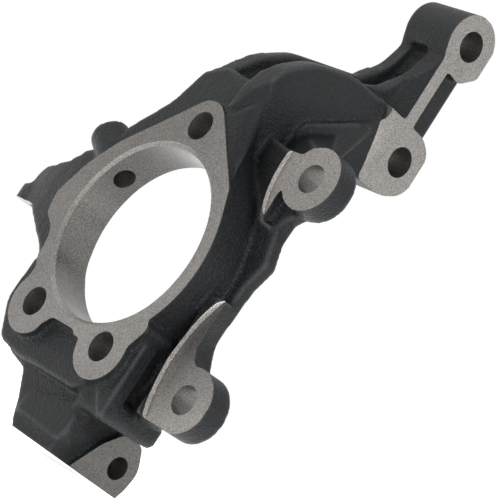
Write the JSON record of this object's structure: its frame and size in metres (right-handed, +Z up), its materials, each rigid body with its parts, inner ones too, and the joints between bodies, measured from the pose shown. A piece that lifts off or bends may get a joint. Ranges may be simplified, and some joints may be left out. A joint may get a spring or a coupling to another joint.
{
  "type": "steering knuckle",
  "caption": "Cast steering knuckle with a hub flange and bore, strut tab, caliper ears, ball-joint clamp, steering arm and sensor hole.",
  "frame": {"origin": "centre of the hub bore, in the plane of the machined hub face", "axes": "+X towards the caliper ears, +Y inboard along the bore away from the wheel, +Z up towards the strut tab"},
  "size_m": [0.1993, 0.1066, 0.2695],
  "materials": {
    "cast_body": "dark coated cast skin with bare machined faces"
  },
  "bodies": {
    "root": {"steering_knuckle": "cast_body"}
  },
  "joints": []
}
